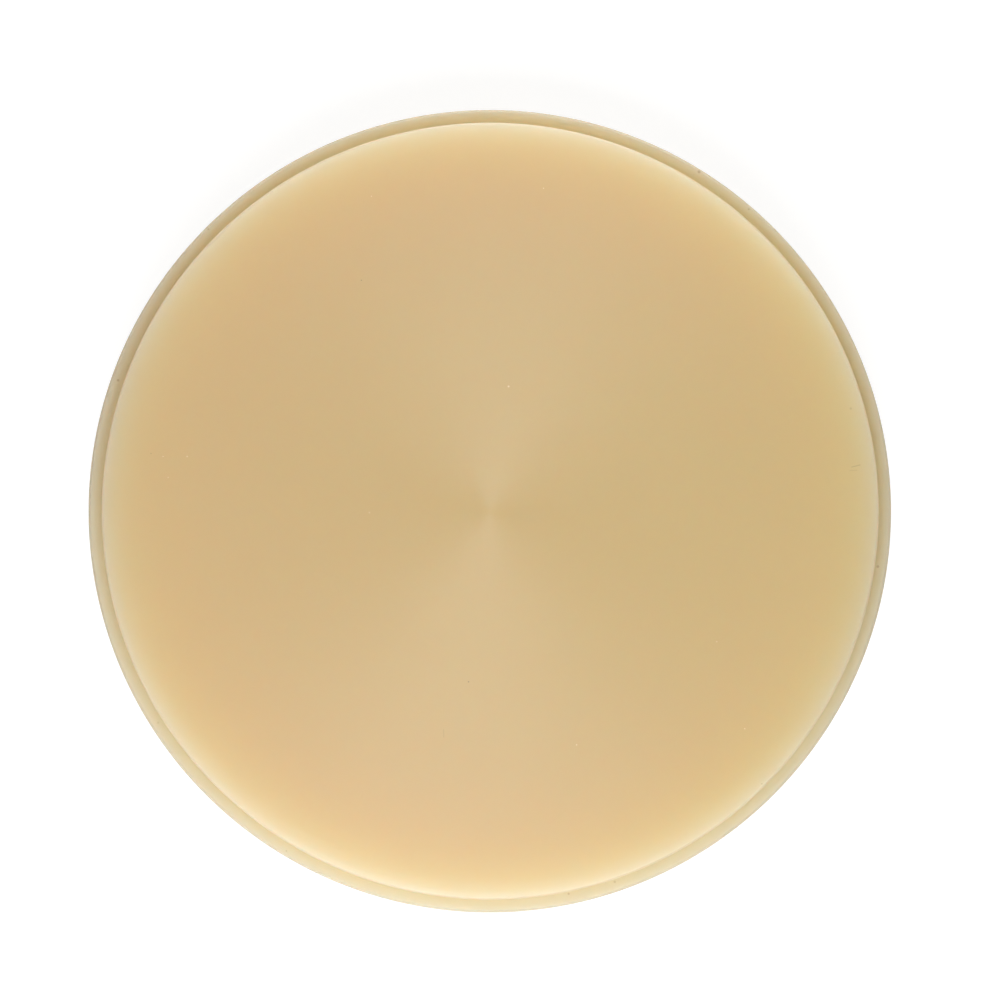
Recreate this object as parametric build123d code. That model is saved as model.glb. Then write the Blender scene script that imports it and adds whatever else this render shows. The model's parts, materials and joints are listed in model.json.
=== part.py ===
"""A dental milling disc: the blank that a dental mill cuts crowns, bridges and splints out of.

It is one solid puck of tooth-coloured acrylic, turned on a lathe. A core as tall as the whole blank
carries a collar half way up. The mill's holder grips the collar between two clamping rings, so its
diameter and height are fixed by the holder, while the core comes in many heights. Both sides are
alike, and the disc goes into the holder either way up.

Sizes are in millimetres. The origin is the centre of the face that the disc rests on, with +Z up.
"""

from build123d import *
import os

# The collar, which the holder grips by its rim and by the two ledges that it makes round the core.
COLLAR_DIAMETER = 98.5
COLLAR_HEIGHT = 10.0
LEDGE_WIDTH = 1.75  # leaves a core 95 mm across, which passes through the clamping rings
STEP_HEIGHT = 5.0  # how far the core stands out above the collar, and again below it

# What the lathe leaves at the corners.
FACE_CHAMFER = 0.2  # the edge broken round each flat face of the core
COLLAR_CHAMFER = 0.25  # the lead that lets the collar drop into its seat
ROOT_RADIUS = 0.2  # the nose of the turning tool, where a ledge meets the core

collar_radius = COLLAR_DIAMETER / 2
core_radius = collar_radius - LEDGE_WIDTH
blank_height = COLLAR_HEIGHT + 2 * STEP_HEIGHT


def half_section():
    """The cross-section from the axis out to the collar, standing in the XZ plane."""
    from_axis = (Align.MIN, Align.CENTER)
    with BuildSketch(Plane.XZ) as section:
        with Locations((0, blank_height / 2)):
            Rectangle(core_radius, blank_height, align=from_axis)
            Rectangle(collar_radius, COLLAR_HEIGHT, align=from_axis)

        # Six corners are off the axis: two on the collar's rim and four on the core's wall,
        # of which the lowest and highest are the rims of the faces and the others are roots.
        rim = section.vertices().group_by(Axis.X)[-1]
        wall = section.vertices().group_by(Axis.X)[-2].sort_by(Axis.Y)
        face_edges = [wall[0], wall[-1]]
        roots = wall[1:-1]

        chamfer(rim, COLLAR_CHAMFER)
        chamfer(face_edges, FACE_CHAMFER)
        fillet(roots, ROOT_RADIUS)
    return section.sketch


def turned_disc():
    """The half section spun once round the axis, as the lathe turns it."""
    with BuildPart() as disc:
        add(half_section())
        revolve(axis=Axis.Z)
    return disc.part


milling_disc = turned_disc()
milling_disc.label = "milling_disc"

os.makedirs("parts", exist_ok=True)
export_step(milling_disc, "parts/milling_disc.step")

print(f"milling_disc: {blank_height:g} mm high, core {2 * core_radius:g} mm across")
print(f"volume {milling_disc.volume / 1000:.2f} cm3, valid {milling_disc.is_valid}")
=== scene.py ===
# %% [markdown]
# # A dental milling disc, turned and lit in Blender
#
# The object is the blank that a dental mill cuts crowns, bridges and splints out of: one solid puck of
# tooth-coloured acrylic, turned on a lathe, with a collar half way up that the mill's holder grips.
# The picture to match looks straight down on it, on plain white.
#
# Nearly everything that makes it look real is small: a stepped rim with broken edges, fine rings left
# by the turning tool, and light that soaks into the acrylic and leaves it again near the edges. So the
# lesson spends a few short steps on the shape and most of the others on the material and the light.
#
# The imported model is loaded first. It is the frame: the disc's own sizes are read from it, in metres.

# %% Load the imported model
import json
import math

import bpy
from mathutils import Matrix, Vector


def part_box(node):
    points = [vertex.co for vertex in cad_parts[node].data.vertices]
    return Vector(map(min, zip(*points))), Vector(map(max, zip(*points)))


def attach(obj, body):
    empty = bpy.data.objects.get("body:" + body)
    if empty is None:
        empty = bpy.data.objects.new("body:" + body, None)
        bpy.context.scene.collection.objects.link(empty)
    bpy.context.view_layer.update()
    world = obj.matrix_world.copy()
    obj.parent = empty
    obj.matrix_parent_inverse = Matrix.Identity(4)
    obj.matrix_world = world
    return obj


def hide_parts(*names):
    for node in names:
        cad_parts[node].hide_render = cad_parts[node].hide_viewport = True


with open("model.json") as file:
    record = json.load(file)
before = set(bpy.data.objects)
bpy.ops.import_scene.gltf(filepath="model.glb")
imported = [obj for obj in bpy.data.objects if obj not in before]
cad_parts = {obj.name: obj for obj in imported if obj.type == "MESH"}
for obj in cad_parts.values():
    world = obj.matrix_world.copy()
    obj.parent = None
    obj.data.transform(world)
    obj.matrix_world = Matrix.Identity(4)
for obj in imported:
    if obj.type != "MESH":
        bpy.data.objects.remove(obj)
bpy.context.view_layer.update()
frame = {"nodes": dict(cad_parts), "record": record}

print("packed pieces:", sorted(frame["nodes"]))

# %% [markdown]
# ## Sizes that the holder fixes
#
# A holder grips the collar by its rim and by the two ledges that it makes round the core. Those
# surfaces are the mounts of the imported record, so their radii and heights are read there instead of
# being typed again. A mount's length is that of the plain wall alone, and what is missing from the
# full height is the small chamfer or radius at each end of it.

# %% Read the sizes from the record's mounts
MM = 0.001
mounts = {mount["name"]: mount for mount in frame["record"]["mounts"]}
rim = mounts["collar_rim"]
core_wall = mounts["upper_spigot"]

blank_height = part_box("milling_disc")[1].z
collar_radius = rim["dims"]["r_mm"] * MM
core_radius = core_wall["dims"]["r_mm"] * MM
ledge_height = mounts["upper_ledge"]["pos_m"][2]
collar_height = ledge_height - mounts["lower_ledge"]["pos_m"][2]

wall_top = core_wall["pos_m"][2] + core_wall["dims"]["length_mm"] * MM / 2
wall_foot = core_wall["pos_m"][2] - core_wall["dims"]["length_mm"] * MM / 2
face_chamfer = blank_height - wall_top
root_radius = wall_foot - ledge_height
collar_chamfer = (collar_height - rim["dims"]["length_mm"] * MM) / 2

print(f"collar {2 * collar_radius / MM:.1f} mm across and {collar_height / MM:.1f} mm high")
print(f"core {2 * core_radius / MM:.1f} mm across and {blank_height / MM:.1f} mm high")
print(f"chamfers {face_chamfer / MM:.2f} mm on the face and {collar_chamfer / MM:.2f} mm on the collar")
print(f"roots {root_radius / MM:.2f} mm")

# %% [markdown]
# ## The half section
#
# A turned piece is fully described by its half section, the outline that its surface would leave on
# a sheet of paper standing on the axis. Only the upper half is drawn, from the middle of the face out
# to the middle of the rim, because the lower half is its mirror image.
#
# Each corner has its own radius. The two roots keep the nose radius of the tool. The outer corners
# are chamfered and then eased by a few hundredths of a millimetre, since no real edge is perfectly
# sharp, and it is this small round that catches the light as a fine bright line.

# %% Draw the section from the face's centre to the middle of the rim
EASED_EDGE = 0.04 * MM
ARC_STEPS = 4


def corner_arc(before, corner, after, radius):
    """Points of the arc that rounds off one corner, tangent to both of the lines that meet there."""
    arriving = (corner - before).normalized()
    leaving = (after - corner).normalized()
    turn = arriving.angle(leaving)
    reach = radius * math.tan(turn / 2)
    middle = corner + (leaving - arriving).normalized() * radius / math.cos(turn / 2)
    start = corner - arriving * reach - middle
    end = corner + leaving * reach - middle
    # The spokes are spaced evenly by angle and not by length, which keeps the arc's radius.
    shares = [step / ARC_STEPS for step in range(ARC_STEPS + 1)]
    spokes = [start * math.sin((1 - t) * turn) + end * math.sin(t * turn) for t in shares]
    return [middle + spoke / math.sin(turn) for spoke in spokes]


def upper_section():
    """The section's points as (radius, height), with each corner rounded off."""
    corners = [
        (0.0, blank_height, 0.0),
        (core_radius - face_chamfer, blank_height, EASED_EDGE),
        (core_radius, blank_height - face_chamfer, EASED_EDGE),
        (core_radius, ledge_height, root_radius),
        (collar_radius - collar_chamfer, ledge_height, EASED_EDGE),
        (collar_radius, ledge_height - collar_chamfer, EASED_EDGE),
        (collar_radius, blank_height / 2, 0.0),
    ]
    places = [Vector((radius, height)) for radius, height, _ in corners]
    points = [places[0]]
    for before, corner, after, (_, _, rounding) in zip(places, places[1:], places[2:], corners[1:]):
        points += corner_arc(before, corner, after, rounding)
    return points + [places[-1]]


upper = upper_section()
print(f"upper half section: {len(upper)} points")

# %% [markdown]
# ## Turning the section
#
# A section can be turned by code that works out every point of every ring, by the spin operation of
# bmesh, or by a Screw modifier, which is Blender's own lathe. The modifier is the shortest and the
# most exact of them: it takes the section as a plain line of points and turns it once round the axis.
# It is then made final, because the faces are to be given their finishes one by one.
#
# A face that ran from the axis to the edge in one step would be 360 long slivers, so the section
# gets extra points first. Steps of one degree keep the outline round to two thousandths of a
# millimetre.

# %% Turn the section into the disc
STEPS_ROUND = 360
LONGEST_STEP = 2.0 * MM
MERGE_DISTANCE = 0.001 * MM


def subdivided(points, longest):
    """The same line with points added, so that no step along it is longer than the longest one."""
    finer = [points[0]]
    for start, end in zip(points, points[1:]):
        pieces = max(1, math.ceil((end - start).length / longest))
        finer += [start.lerp(end, piece / pieces) for piece in range(1, pieces + 1)]
    return finer


def turned(name, points):
    """Turns a line of (radius, height) points once round the axis, and returns the object."""
    line = bpy.data.meshes.new(name)
    links = [(number, number + 1) for number in range(len(points) - 1)]
    line.from_pydata([(point.x, 0.0, point.y) for point in points], links, [])
    piece = bpy.data.objects.new(name, line)
    bpy.context.collection.objects.link(piece)

    lathe = piece.modifiers.new("lathe", "SCREW")
    lathe.angle = math.tau
    lathe.steps = lathe.render_steps = STEPS_ROUND
    lathe.use_merge_vertices = True
    lathe.merge_threshold = MERGE_DISTANCE
    lathe.use_smooth_shade = True
    evaluated = piece.evaluated_get(bpy.context.evaluated_depsgraph_get())
    piece.data = bpy.data.meshes.new_from_object(evaluated)
    piece.modifiers.clear()
    bpy.data.meshes.remove(line)
    return piece


half = subdivided(upper, LONGEST_STEP)
mirrored = [Vector((point.x, blank_height - point.y)) for point in reversed(half[:-1])]
disc = turned("turned_disc", half + mirrored)
print(f"turned disc: {len(disc.data.vertices)} points, {len(disc.data.polygons)} faces")

# %% [markdown]
# ## Which surfaces are faced and which are turned
#
# A lathe finishes the two broad faces by feeding its tool towards the axis, and the core's wall, the
# ledges and the rim in separate and coarser cuts. They are all one acrylic but not one finish, so the
# disc gets two materials. Each flat face of the core takes the first of them, with its broken edge.

# %% Give each surface its finish
FACED = 0
TURNED = 1

wall_reach = wall_top - blank_height / 2

for polygon in disc.data.polygons:
    from_middle = abs(polygon.center.z - blank_height / 2)
    polygon.material_index = FACED if from_middle > wall_reach else TURNED

faced_count = sum(polygon.material_index == FACED for polygon in disc.data.polygons)
print(f"{faced_count} faces are faced, {len(disc.data.polygons) - faced_count} are turned")

# %% [markdown]
# ## Helpers for node trees
#
# A node tree in code is easier to read when one line makes a node, sets it and joins it up. The first
# helper does that: an input that is given another node's output is linked, and any other value is
# typed into the socket. The second is for sums, which are most of what a procedural material does.
# The last two make a node group and place it. A group is worth making when both finishes need the
# same effect: it is built once, and each material gives it values of its own.

# %% Define the helpers
def add_node(tree, kind, inputs=(), **settings):
    """Adds a node, applies its settings, and fills or links the inputs given by name or number."""
    node = tree.nodes.new("ShaderNode" + kind)
    for name, value in settings.items():
        setattr(node, name, value)
    for key, value in dict(inputs).items():
        if isinstance(value, bpy.types.NodeSocket):
            tree.links.new(value, node.inputs[key])
        else:
            node.inputs[key].default_value = value
    return node


def calculate(tree, operation, *values, clamp=False):
    """One Math node, whose values are numbers or sockets."""
    node = add_node(tree, "Math", dict(enumerate(values)), operation=operation, use_clamp=clamp)
    return node.outputs[0]


def new_group(name, inputs, outputs):
    """A shader node group with float inputs that have defaults, vector inputs, and float outputs."""
    tree = bpy.data.node_groups.new(name, "ShaderNodeTree")
    for label, default in inputs.items():
        kind = "NodeSocketVector" if default is None else "NodeSocketFloat"
        socket = tree.interface.new_socket(label, in_out="INPUT", socket_type=kind)
        if default is not None:
            socket.default_value = default
    for label in outputs:
        tree.interface.new_socket(label, in_out="OUTPUT", socket_type="NodeSocketFloat")
    entry = tree.nodes.new("NodeGroupInput")
    result = tree.nodes.new("NodeGroupOutput")
    return tree, entry.outputs, result.inputs


def place_group(tree, group, **inputs):
    """Places a group in a material, with that material's own values, and returns its outputs."""
    labels = {name.replace("_", " "): value for name, value in inputs.items()}
    return add_node(tree, "Group", labels, node_tree=group).outputs


print("four helpers: a node, a sum, a new group and a group in its place")

# %% [markdown]
# ## Where a point lies on the turned piece
#
# What a lathe leaves on its work depends on how far the tool has fed. Add the way out from the axis to
# the way down from the nearer face, and the sum grows steadily along the whole section: across the
# face, down the wall, out over the ledge and down the rim. That one number places every tool mark and
# every edge. It is in millimetres, because marks are easier to think of in those than in metres.

# %% Build the group for the tool's feed
def build_tool_feed():
    """How far the tool has fed along the section to reach a point, in millimetres."""
    tree, given, result = new_group("Tool feed", {"Position": None, "Half height": 10.0}, ["Feed"])
    split = add_node(tree, "SeparateXYZ", {0: given["Position"]})
    flat = add_node(tree, "CombineXYZ", {0: split.outputs[0], 1: split.outputs[1]})
    radius = add_node(tree, "VectorMath", {0: flat.outputs[0]}, operation="LENGTH").outputs["Value"]
    from_middle = calculate(tree, "SUBTRACT", split.outputs[2], given["Half height"])
    depth = calculate(tree, "SUBTRACT", given["Half height"], calculate(tree, "ABSOLUTE", from_middle))
    tree.links.new(calculate(tree, "ADD", radius, depth), result["Feed"])
    return tree


tool_feed = build_tool_feed()
print("group:", tool_feed.name)

# %% [markdown]
# ## Tool marks
#
# Each turn of the lathe leaves one shallow scallop with a crest beside it. The feed divided by the
# pitch numbers the scallops, the fraction that is left over draws the hollow, and a random number for
# each scallop makes some of them deeper, as the tool chatters. Modelled rings would need over a
# million faces, so the height goes to a bump, and the random tone varies the roughness ring by ring.

# %% Build the group for tool marks
SHALLOWEST_CUT = 0.4


def build_tool_marks():
    """Height of the scallops in millimetres, and a random tone from 0 to 1 for each scallop."""
    tree, given, result = new_group(
        "Tool marks", {"Feed": 0.0, "Pitch": 0.1, "Depth": 0.001}, ["Height", "Tone"]
    )
    turns = calculate(tree, "DIVIDE", given["Feed"], given["Pitch"])
    number = calculate(tree, "FLOOR", turns)
    across = calculate(tree, "MULTIPLY_ADD", calculate(tree, "FRACT", turns), 2.0, -1.0)
    hollow = calculate(tree, "MULTIPLY", across, across)
    tone = add_node(tree, "TexWhiteNoise", {"W": number}, noise_dimensions="1D").outputs["Value"]
    share = calculate(tree, "MULTIPLY_ADD", tone, 1 - SHALLOWEST_CUT, SHALLOWEST_CUT)
    height = calculate(tree, "MULTIPLY", calculate(tree, "MULTIPLY", hollow, share), given["Depth"])
    tree.links.new(height, result["Height"])
    tree.links.new(tone, result["Tone"])
    return tree


tool_marks = build_tool_marks()
print("group:", tool_marks.name)

# %% [markdown]
# ## Painted glow at the edges
#
# Light soaks a few millimetres into this acrylic and comes out again somewhere else. Well inside the
# disc it travels far enough to be tinted deeply. Near an outward edge it has a short way out, so the
# acrylic looks paler there, almost like cream. Most of that comes from the shader's own scattering.
# Part of it is painted into the colour as well, as a painted glow of scattered light, because a model
# that is shown without scattering would otherwise lose it. The group fades that painted glow from 1 at
# an edge to about a third of that at its reach.

# %% Build the group for the painted edge glow
def build_painted_edge_glow():
    """How much painted glow of scattered light a point gets, from 1 at the feed where an edge lies
    towards 0 away from it.
    """
    tree, given, result = new_group(
        "Painted edge glow", {"Feed": 0.0, "Edge": 0.0, "Reach": 1.0}, ["Paleness"]
    )
    away = calculate(tree, "ABSOLUTE", calculate(tree, "SUBTRACT", given["Feed"], given["Edge"]))
    reaches = calculate(tree, "DIVIDE", away, given["Reach"])
    faded = calculate(tree, "EXPONENT", calculate(tree, "MULTIPLY", reaches, -1.0))
    tree.links.new(faded, result["Paleness"])
    return tree


painted_edge_glow = build_painted_edge_glow()
print("group:", painted_edge_glow.name)

# %% [markdown]
# ## Colour slope
#
# The colour leans to yellow towards +X and to red towards -X. A painted image could show that, but a
# slope through the solid gives it to every side of the piece at once. A slow noise is added, so that the
# change doesn't run along a ruler. The group returns 0 where the colour is yellowest and 1 where it is
# reddest.

# %% Build the group for the colour slope
SWINGS_IN_A_SPAN = 2.0


def build_colour_slope():
    """A number from 0 to 1 that rises from +X to -X over Span, and wanders on the way."""
    tree, given, result = new_group(
        "Colour slope", {"Position": None, "Span": 100.0, "Wander": 0.5}, ["Lean"]
    )
    scale = calculate(tree, "DIVIDE", 1.0, given["Span"])
    across = add_node(tree, "SeparateXYZ", {0: given["Position"]}).outputs[0]
    slope = calculate(tree, "MULTIPLY_ADD", calculate(tree, "MULTIPLY", across, scale), -1.0, 0.5)
    finer = calculate(tree, "MULTIPLY", scale, SWINGS_IN_A_SPAN)
    noise = add_node(tree, "TexNoise", {"Vector": given["Position"], "Scale": finer, "Detail": 0.0})
    wandering = calculate(tree, "SUBTRACT", noise.outputs[0], 0.5)
    lean = calculate(tree, "MULTIPLY_ADD", wandering, given["Wander"], slope, clamp=True)
    tree.links.new(lean, result["Lean"])
    return tree


colour_slope = build_colour_slope()
print("group:", colour_slope.name)

# %% [markdown]
# ## Pits
#
# Cast acrylic holds a few tiny bubbles and grains, and where the tool cuts one open it leaves a pit
# about a tenth of a millimetre across. That is too small to need relief, so a pit is only a dark dot
# in the colour. A Voronoi texture could scatter the pits, but it searches every cell round a point,
# which is slow under a material that light enters and leaves so often. Cells of space do it more
# cheaply. Each cell is given two random things: where in it a pit could lie, and whether there is one
# at all, so that pits are far apart and in no pattern.

# %% Build the group for pits
def build_pits():
    """Cover from 0 to 1 of the pits, for cells that are Spacing wide and of which a Share hold one."""
    tree, given, result = new_group(
        "Pits", {"Position": None, "Spacing": 3.0, "Share": 0.1, "Size": 0.12}, ["Cover"]
    )
    scale = calculate(tree, "DIVIDE", 1.0, given["Spacing"])
    cells = add_node(tree, "VectorMath", {0: given["Position"], 3: scale}, operation="SCALE").outputs[0]
    cell = add_node(tree, "VectorMath", {0: cells}, operation="FLOOR").outputs[0]
    inside_cell = add_node(tree, "VectorMath", {0: cells}, operation="FRACTION").outputs[0]
    random = add_node(tree, "TexWhiteNoise", {"Vector": cell}).outputs
    apart = add_node(
        tree, "VectorMath", {0: inside_cell, 1: random["Color"]}, operation="DISTANCE"
    ).outputs["Value"]
    in_mm = calculate(tree, "MULTIPLY", apart, given["Spacing"])
    in_sizes = calculate(tree, "DIVIDE", in_mm, given["Size"])
    inside = calculate(tree, "SUBTRACT", 1.0, in_sizes, clamp=True)
    holds = calculate(tree, "LESS_THAN", random["Value"], given["Share"])
    tree.links.new(calculate(tree, "MULTIPLY", inside, holds), result["Cover"])
    return tree


pits = build_pits()
print("group:", pits.name)

# %% [markdown]
# ## Specks and hairlines
#
# The photo also shows a few marks on this one disc: bright specks where light glints, painted in as
# highlights, dark grains and two short ticks near the right edge. They are placed one by one, each as a
# group of its own.
# A speck needs only the distance to its place. A hairline needs the distance to the nearest point of
# the line from its start to its end. The places have a height, so the marks stay off the underside.

# %% Build the groups for one speck and one hairline
def faded_cover(tree, apart, width):
    """1 near the middle of a mark, fading to 0 at half its width."""
    share = calculate(tree, "DIVIDE", apart, width)
    return calculate(tree, "MULTIPLY_ADD", share, -4.0, 2.0, clamp=True)


def build_speck():
    """Cover from 0 to 1 of one round speck."""
    tree, given, result = new_group(
        "Speck", {"Position": None, "Place": None, "Width": 0.2}, ["Cover"]
    )
    apart = add_node(
        tree, "VectorMath", {0: given["Position"], 1: given["Place"]}, operation="DISTANCE"
    )
    tree.links.new(faded_cover(tree, apart.outputs["Value"], given["Width"]), result["Cover"])
    return tree


def build_hairline():
    """Cover from 0 to 1 of one thin mark that runs from Start to End."""
    tree, given, result = new_group(
        "Hairline", {"Position": None, "Start": None, "End": None, "Width": 0.2}, ["Cover"]
    )
    start = given["Start"]
    line = add_node(tree, "VectorMath", {0: given["End"], 1: start}, operation="SUBTRACT").outputs[0]
    way = add_node(tree, "VectorMath", {0: given["Position"], 1: start}, operation="SUBTRACT").outputs[0]
    forward = add_node(tree, "VectorMath", {0: way, 1: line}, operation="DOT_PRODUCT")
    squared = add_node(tree, "VectorMath", {0: line, 1: line}, operation="DOT_PRODUCT")
    share = calculate(tree, "DIVIDE", forward.outputs["Value"], squared.outputs["Value"], clamp=True)
    nearest = add_node(tree, "VectorMath", {0: line, 1: share, 2: start}, operation="MULTIPLY_ADD")
    apart = add_node(
        tree, "VectorMath", {0: given["Position"], 1: nearest.outputs[0]}, operation="DISTANCE"
    )
    tree.links.new(faded_cover(tree, apart.outputs["Value"], given["Width"]), result["Cover"])
    return tree


speck = build_speck()
hairline = build_hairline()
print("groups:", speck.name, "and", hairline.name)

# %% [markdown]
# ## Where the marks lie
#
# Places are in millimetres from the axis, as the photo shows them. A tone above 0 is paler than the
# acrylic round it, and one below 0 is darker. Few of them matter at arm's length, but without them the
# face looks computed.

# %% List the marks
# Each speck is (x, y, width, tone), and each hairline (x, y, x at its end, y at its end, width, tone).
# A tone above 0 is a painted glint of light, and one below 0 a dark grain or tick.
FACE_SPECKS = [
    (2.22, 15.25, 0.30, 0.7),
    (-14.79, -0.17, 0.18, 0.9),
    (-14.54, 38.50, 0.16, 0.7),
    (6.50, 39.48, 0.16, 0.9),
    (-37.06, 6.69, 0.24, 0.5),
    (-40.00, 6.69, 0.16, 0.7),
    (-39.38, 4.12, 0.20, 0.4),
    (10.55, -28.56, 0.18, 0.9),
    (27.68, -15.95, 0.18, 0.6),
    (31.10, -26.60, 0.18, 0.8),
    (-15.77, 28.22, 0.20, -0.9),
    (-2.67, -20.85, 0.22, -1.0),
    (-41.47, 7.05, 0.18, -0.7),
    (33.19, -33.33, 0.24, -0.5),
    (44.07, 12.56, 0.36, -0.4),
]
FACE_HAIRLINES = [
    (44.20, 5.40, 45.20, 5.66, 0.16, -0.5),
    (43.96, 4.97, 44.82, 5.00, 0.14, -0.25),
    (-5.73, -26.70, -5.70, -27.60, 0.16, -0.25),
]
LEDGE_SPECKS = [
    (-34.56, 34.60, 0.30, -0.8),
    (-45.62, 16.05, 0.40, -0.9),
    (31.77, 37.06, 0.30, -0.8),
    (25.68, 41.67, 0.50, -1.0),
    (47.62, -6.80, 0.45, -0.9),
    (-40.71, -25.95, 0.35, -0.4),
    (-24.98, -41.68, 0.24, -0.8),
    (15.31, -45.49, 0.40, -0.7),
    (9.65, -46.96, 0.34, -0.8),
]
print(f"{len(FACE_SPECKS)} specks on the face and {len(LEDGE_SPECKS)} on the ledge")
print(f"{len(FACE_HAIRLINES)} hairlines on the face")

# %% [markdown]
# ## The colour of the acrylic
#
# The colour is laid down in layers. Two deep tones are mixed by a slow colour slope across the disc, a
# painted glow of scattered light goes on near the edges, and then the pits with their painted shade, the
# painted glints and the dark marks come on top. Each finish hands in its own tones, since coarse tool
# marks scatter some white light and make the turned surfaces greyer than the faces.

# %% Mix the colour
FACE_EDGE_FEED = core_radius / MM
RIM_EDGE_FEED = (collar_radius + blank_height - ledge_height) / MM
# The dark colour of the pits is painted shade for their hollows.
PIT_SHADE_COLOUR = (0.30, 0.22, 0.12, 1.0)
# The next colour is that of the painted glints of light.
PAINTED_GLINT_COLOUR = (0.90, 0.76, 0.52, 1.0)
GRAIN_COLOUR = (0.40, 0.29, 0.15, 1.0)


def mixed(tree, share, below, above):
    """One colour laid over another by a share from 0 to 1."""
    layers = add_node(tree, "Mix", {0: share, 6: below, 7: above}, data_type="RGBA")
    return layers.outputs[2]


def edge_glow_share(tree, feed, look):
    """How much painted glow of scattered light the acrylic gets from the face's edge and the collar's
    edge together.
    """
    face = place_group(tree, painted_edge_glow, Feed=feed, Edge=FACE_EDGE_FEED, Reach=look["face_reach"])
    collar = place_group(tree, painted_edge_glow, Feed=feed, Edge=RIM_EDGE_FEED, Reach=look["rim_reach"])
    from_collar = calculate(tree, "MULTIPLY", collar["Paleness"], look["rim_glow_share"])
    return calculate(
        tree, "MULTIPLY_ADD", face["Paleness"], look["face_glow_share"], from_collar, clamp=True
    )


def mark_tone(tree, position, height, specks, hairlines):
    """The tones of all marks at one height added up: above 0 for painted glints, below 0 where dark."""
    total = 0.0
    for x, y, width, tone in specks:
        mark = place_group(tree, speck, Position=position, Place=(x, y, height), Width=width)
        total = calculate(tree, "MULTIPLY_ADD", mark["Cover"], tone, total)
    for x, y, end_x, end_y, width, tone in hairlines:
        ends = dict(Start=(x, y, height), End=(end_x, end_y, height))
        mark = place_group(tree, hairline, Position=position, Width=width, **ends)
        total = calculate(tree, "MULTIPLY_ADD", mark["Cover"], tone, total)
    return total


def acrylic_colour(tree, position, feed, look):
    """The colour at a point, from the two deep tones through the painted edge glow up to the marks."""
    colour_lean = place_group(tree, colour_slope, Position=position, Span=look["slope_span"])
    deep = mixed(tree, colour_lean["Lean"], look["deep_yellow"], look["deep_red"])
    # The edges get a painted glow that stands in for light scattered out of the acrylic.
    with_edge_glow = mixed(tree, edge_glow_share(tree, feed, look), deep, look["edge_glow_colour"])
    pit = place_group(
        tree, pits, Position=position, Spacing=look["pit_spacing"], Share=look["pit_share"]
    )
    # The pits get their painted shade here.
    pitted = mixed(tree, pit["Cover"], with_edge_glow, PIT_SHADE_COLOUR)
    tone = mark_tone(tree, position, look["marks_height"], look["specks"], look["hairlines"])
    # Tones above 0 are painted glints, tones below 0 dark grains and ticks.
    glint = calculate(tree, "MAXIMUM", tone, 0.0)
    grain = calculate(tree, "MAXIMUM", calculate(tree, "MULTIPLY", tone, -1.0), 0.0)
    return mixed(tree, grain, mixed(tree, glint, pitted, PAINTED_GLINT_COLOUR), GRAIN_COLOUR)


print(f"feed at the face's edge {FACE_EDGE_FEED:.2f} mm, at the collar's edge {RIM_EDGE_FEED:.2f} mm")

# %% [markdown]
# ## The acrylic itself
#
# Acrylic is neither clear nor opaque. Light goes in, is scattered by the pigment and comes out some
# millimetres away, red light further than blue. The Principled shader's subsurface part does exactly
# this. Its random walk follows the light through the real shape, so the edge of the face glows most on
# the side where the light goes in, which a painted edge couldn't do. The radius holds the shares of
# red, green and blue and the scale sets the distance. The walk takes steps far shorter than the
# scale, which is why a scale of a few centimetres spreads light by only a few millimetres. About a
# seventh of the light is left to scatter at the surface itself, which makes the render a little
# shorter.
#
# Fine grooves all run round the axis, so they scatter a highlight outwards and inwards but hardly
# along themselves. That is the faint bow tie in the middle of the face. The shader makes it from its
# anisotropy, with a tangent that runs round the axis.

# %% Make one finish of the acrylic
SCATTERED_WITHIN = 0.85
SCATTER_DISTANCE = 38 * MM
SCATTER_SHARES = (1.02, 0.64, 0.46)
ACRYLIC_IOR = 1.49
ACROSS_THE_GROOVES = 0.25


def make_acrylic(name, look):
    """A material for one finish of the acrylic."""
    material = bpy.data.materials.new(name)
    material.use_nodes = True
    tree = material.node_tree
    tree.nodes.clear()
    output = add_node(tree, "OutputMaterial")

    metres = add_node(tree, "TexCoord").outputs["Object"]
    position = add_node(tree, "VectorMath", {0: metres, 3: 1 / MM}, operation="SCALE").outputs[0]
    feed = place_group(tree, tool_feed, Position=position, Half_height=blank_height / 2 / MM)["Feed"]
    cuts = place_group(tree, tool_marks, Feed=feed, Pitch=look["pitch"], Depth=look["cut_depth"])

    colour = acrylic_colour(tree, position, feed, look)
    roughness = calculate(
        tree, "MULTIPLY_ADD", cuts["Tone"], look["roughness_spread"], look["roughness"]
    )
    relief = add_node(tree, "Bump", {"Height": cuts["Height"], "Distance": MM})
    round_the_axis = add_node(tree, "Tangent", direction_type="RADIAL", axis="Z")

    shader = add_node(tree, "BsdfPrincipled", subsurface_method="RANDOM_WALK")
    shader.inputs["IOR"].default_value = ACRYLIC_IOR
    shader.inputs["Subsurface Weight"].default_value = SCATTERED_WITHIN
    shader.inputs["Subsurface Radius"].default_value = SCATTER_SHARES
    shader.inputs["Subsurface Scale"].default_value = SCATTER_DISTANCE
    shader.inputs["Specular IOR Level"].default_value = look["specular"]
    shader.inputs["Anisotropic"].default_value = look["anisotropy"]
    shader.inputs["Anisotropic Rotation"].default_value = ACROSS_THE_GROOVES
    tree.links.new(colour, shader.inputs["Base Color"])
    tree.links.new(roughness, shader.inputs["Roughness"])
    tree.links.new(relief.outputs[0], shader.inputs["Normal"])
    tree.links.new(round_the_axis.outputs[0], shader.inputs["Tangent"])
    tree.links.new(shader.outputs[0], output.inputs["Surface"])
    return material


print(f"{SCATTERED_WITHIN:.0%} of the light scatters within, on a scale of {SCATTER_DISTANCE / MM:g} mm")

# %% [markdown]
# ## Two finishes
#
# The faces are cut with a very fine pitch. The wall, the ledges and the rim are cut three times as
# coarsely and are left rougher, as the photo's greyer ledge suggests. Two dictionaries hold all that
# differs, so a third finish would need no new nodes. All lengths are in millimetres.

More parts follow.
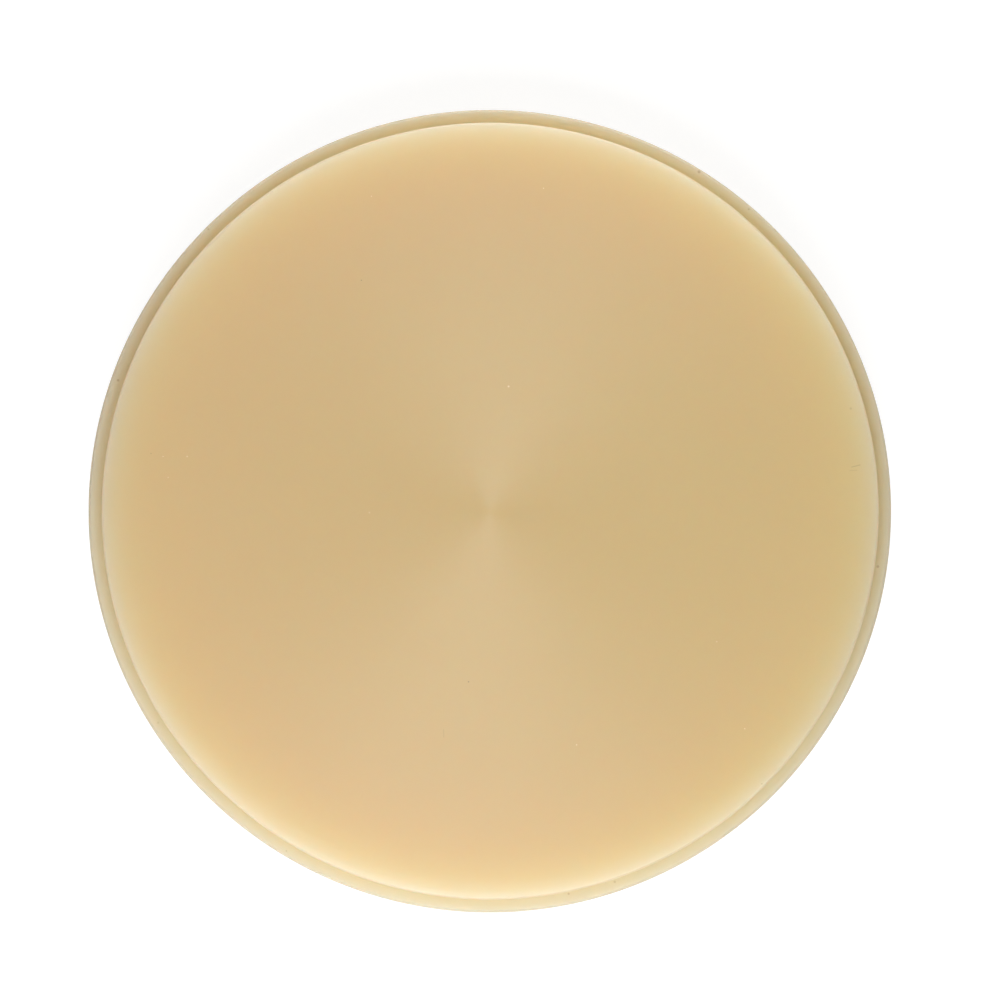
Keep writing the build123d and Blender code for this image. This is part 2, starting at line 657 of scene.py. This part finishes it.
# %% Describe the finishes and dress the disc
FACED_LOOK = dict(
    deep_yellow=(0.634, 0.479, 0.219, 1.0),
    deep_red=(0.653, 0.472, 0.235, 1.0),
    # The next colour and shares are the painted edge glow, which stands in for light scattered out near
    # the edges.
    edge_glow_colour=(0.84, 0.68, 0.53, 1.0),
    slope_span=100.0,
    face_glow_share=0.3,
    face_reach=1.7,
    rim_glow_share=0.1,
    rim_reach=2.0,
    pitch=0.08,
    cut_depth=0.0004,
    roughness=0.39,
    roughness_spread=0.06,
    anisotropy=0.6,
    pit_spacing=4.0,
    pit_share=0.02,
    specular=0.5,
    marks_height=blank_height / MM,
    specks=FACE_SPECKS,
    hairlines=FACE_HAIRLINES,
)
TURNED_LOOK = dict(
    deep_yellow=(0.557, 0.456, 0.226, 1.0),
    deep_red=(0.564, 0.455, 0.244, 1.0),
    # The next colour and shares are the painted edge glow, which stands in for light scattered out near
    # the edges.
    edge_glow_colour=(0.59, 0.485, 0.39, 1.0),
    slope_span=100.0,
    face_glow_share=0.3,
    face_reach=1.7,
    rim_glow_share=0.35,
    rim_reach=1.0,
    pitch=0.25,
    cut_depth=0.0015,
    roughness=0.60,
    roughness_spread=0.06,
    anisotropy=0.5,
    pit_spacing=4.0,
    pit_share=0.03,
    specular=1.0,
    marks_height=ledge_height / MM,
    specks=LEDGE_SPECKS,
    hairlines=[],
)

disc.data.materials.append(make_acrylic("faced_acrylic", FACED_LOOK))
disc.data.materials.append(make_acrylic("turned_acrylic", TURNED_LOOK))
print("materials:", [material.name for material in disc.data.materials])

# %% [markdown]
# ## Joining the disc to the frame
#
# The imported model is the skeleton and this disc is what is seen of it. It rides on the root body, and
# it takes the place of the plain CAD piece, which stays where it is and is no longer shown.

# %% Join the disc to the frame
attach(disc, "root")
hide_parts("milling_disc")
print("the disc rides on the root and stands in for milling_disc")

# %% [markdown]
# ## The white card
#
# The disc was photographed on plain white, so bright that it shows no edge and hardly a shadow. A card
# that only reflected light would need so much of it that the disc burned out. So what is seen of the
# card, straight or mirrored, is part reflection, which keeps a soft shadow, and part glow. For all
# other light the card is plain white card, so that it throws no more light back at the disc than a
# real card would.

# %% Lay the card
FLOOR_SPAN = 4.0
CARD_WHITE = (0.9, 0.9, 0.9, 1.0)
SEEN_GREY = (0.25, 0.25, 0.25, 1.0)
PLAIN_WHITE = (1.0, 1.0, 1.0, 1.0)
SEEN_GLOW = 0.88


def seen_directly(tree):
    """1 for rays that the camera, a reflection or clear glass sends, and 0 for all other light."""
    path = add_node(tree, "LightPath").outputs
    seen = calculate(tree, "ADD", path["Is Camera Ray"], path["Is Glossy Ray"])
    return calculate(tree, "ADD", seen, path["Is Transmission Ray"], clamp=True)


def make_card(name):
    """White card that throws back light like card, and looks nearly white of itself."""
    material = bpy.data.materials.new(name)
    material.use_nodes = True
    tree = material.node_tree
    tree.nodes.clear()
    output = add_node(tree, "OutputMaterial")
    plain = add_node(tree, "BsdfDiffuse", {"Color": CARD_WHITE})
    shaded = add_node(tree, "BsdfDiffuse", {"Color": SEEN_GREY})
    glow = add_node(tree, "Emission", {"Color": PLAIN_WHITE, "Strength": SEEN_GLOW})
    seen = add_node(tree, "AddShader", {0: shaded.outputs[0], 1: glow.outputs[0]})
    card = add_node(
        tree, "MixShader", {0: seen_directly(tree), 1: plain.outputs[0], 2: seen.outputs[0]}
    )
    tree.links.new(card.outputs[0], output.inputs["Surface"])
    return material


half_span = FLOOR_SPAN / 2
floor_corners = [
    (-half_span, -half_span, 0.0),
    (half_span, -half_span, 0.0),
    (half_span, half_span, 0.0),
    (-half_span, half_span, 0.0),
]
floor_mesh = bpy.data.meshes.new("floor")
floor_mesh.from_pydata(floor_corners, [], [(0, 1, 2, 3)])
floor_mesh.materials.append(make_card("white_card"))
floor = bpy.data.objects.new("floor", floor_mesh)
bpy.context.collection.objects.link(floor)
print(f"floor: {FLOOR_SPAN:g} m of white card")

# %% [markdown]
# ## The room
#
# The room adds a little light from all sides, which fills the shadows. It is far dimmer than the
# lamps, because the photo's disc is clearly brighter on one side than on the other. Seen straight or
# mirrored, the room is plain white, like the card.

# %% Fill the room with light
WORLD_LIGHT = 0.136
SEEN_LIGHT = 1.0

world = bpy.data.worlds.new("studio")
world.use_nodes = True
room = world.node_tree
room.nodes.clear()
room_output = add_node(room, "OutputWorld")
more_when_seen = SEEN_LIGHT - WORLD_LIGHT
brightness = calculate(room, "MULTIPLY_ADD", seen_directly(room), more_when_seen, WORLD_LIGHT)
background = add_node(room, "Background", {"Color": PLAIN_WHITE, "Strength": brightness})
room.links.new(background.outputs[0], room_output.inputs[0])
bpy.context.scene.world = world
print(f"the room lights the disc at {WORLD_LIGHT:g} and looks white")

# %% [markdown]
# ## The lamps
#
# The pale crescent along the photo's lower edge tells where the light came from. Light enters the wall
# there, walks through the acrylic and leaves by the face, so the lamps must reach the wall from the
# front, and low ones do that best. A weaker crescent along the upper edge asks for some light from
# behind. The bow tie in the middle comes from a lamp high enough to be mirrored by the grooves.
#
# Each lamp is a soft rectangle that looks at the disc from its azimuth, counted from +X, and its
# elevation. The powers were found by rendering the disc under each lamp alone, choosing the sum that
# comes nearest to the photo, and then correcting that a little.

# %% Hang the lamps
LAMPS = {
    "low_front_strip": dict(azimuth=245, elevation=3, distance=0.8, width=0.5, height=0.2, watts=0.75),
    "front_softbox": dict(azimuth=265, elevation=45, distance=0.8, width=0.4, height=0.2, watts=2.7),
    "high_front_lamp": dict(azimuth=265, elevation=70, distance=0.8, width=0.4, height=0.2, watts=3.1),
    "high_rear_lamp": dict(azimuth=85, elevation=70, distance=0.8, width=0.4, height=0.2, watts=0.35),
    "low_rear_strip": dict(azimuth=84, elevation=3, distance=0.8, width=0.6, height=0.2, watts=5.0),
}


def add_lamp(name, azimuth, elevation, distance, width, height, watts):
    """A rectangular lamp that looks at the middle of the disc and isn't seen itself."""
    light = bpy.data.lights.new(name, "AREA")
    light.shape = "RECTANGLE"
    light.size = width
    light.size_y = height
    light.energy = watts
    lamp = bpy.data.objects.new(name, light)
    turn = math.radians(azimuth)
    rise = math.radians(elevation)
    way = Vector((math.cos(turn) * math.cos(rise), math.sin(turn) * math.cos(rise), math.sin(rise)))
    lamp.location = way * distance + Vector((0, 0, blank_height / 2))
    lamp.rotation_mode = "QUATERNION"
    lamp.rotation_quaternion = way.to_track_quat("Z", "Y")
    lamp.visible_camera = False
    bpy.context.collection.objects.link(lamp)
    return lamp


for lamp_name, values in LAMPS.items():
    add_lamp(lamp_name, **values)
print("lamps:", ", ".join(LAMPS))

# %% [markdown]
# ## The camera
#
# The photo looks straight down, as from a copy stand. Two circles give the distance: the face is 5 mm
# nearer than the collar, so it looks larger than its 95 mm by a share that depends on how far away the
# camera is. They also give its place, since their centres are half a pixel apart, which a camera a
# little to one side explains. The frame's width is measured at the height of the collar's ledge.

# %% Set up the camera
FRAME_WIDTH = 122.70 * MM
CAMERA_DISTANCE = 1.317
SENSOR_MM = 36.0
AIM = Vector((1.23 * MM, 1.37 * MM, ledge_height))
CAMERA_SIDE = Vector((-14.7 * MM, 0.0, 0.0))
FARTHEST_SEEN = 10.0

camera_data = bpy.data.cameras.new("copy_stand")
camera_data.sensor_width = SENSOR_MM
camera_data.lens = SENSOR_MM * CAMERA_DISTANCE / FRAME_WIDTH
camera_data.clip_end = FARTHEST_SEEN
camera = bpy.data.objects.new("copy_stand", camera_data)
camera.location = AIM + CAMERA_SIDE + Vector((0.0, 0.0, CAMERA_DISTANCE))
backward = (camera.location - AIM).normalized()
rightward = Vector((0, 1, 0)).cross(backward).normalized()
upward = backward.cross(rightward)
camera.rotation_mode = "QUATERNION"
camera.rotation_quaternion = Matrix((rightward, upward, backward)).transposed().to_quaternion()
bpy.context.collection.objects.link(camera)
bpy.context.scene.camera = camera
bpy.context.scene.view_settings.view_transform = "Standard"
print(f"camera {CAMERA_DISTANCE:.3f} m above the ledge with a {camera_data.lens:.0f} mm lens")
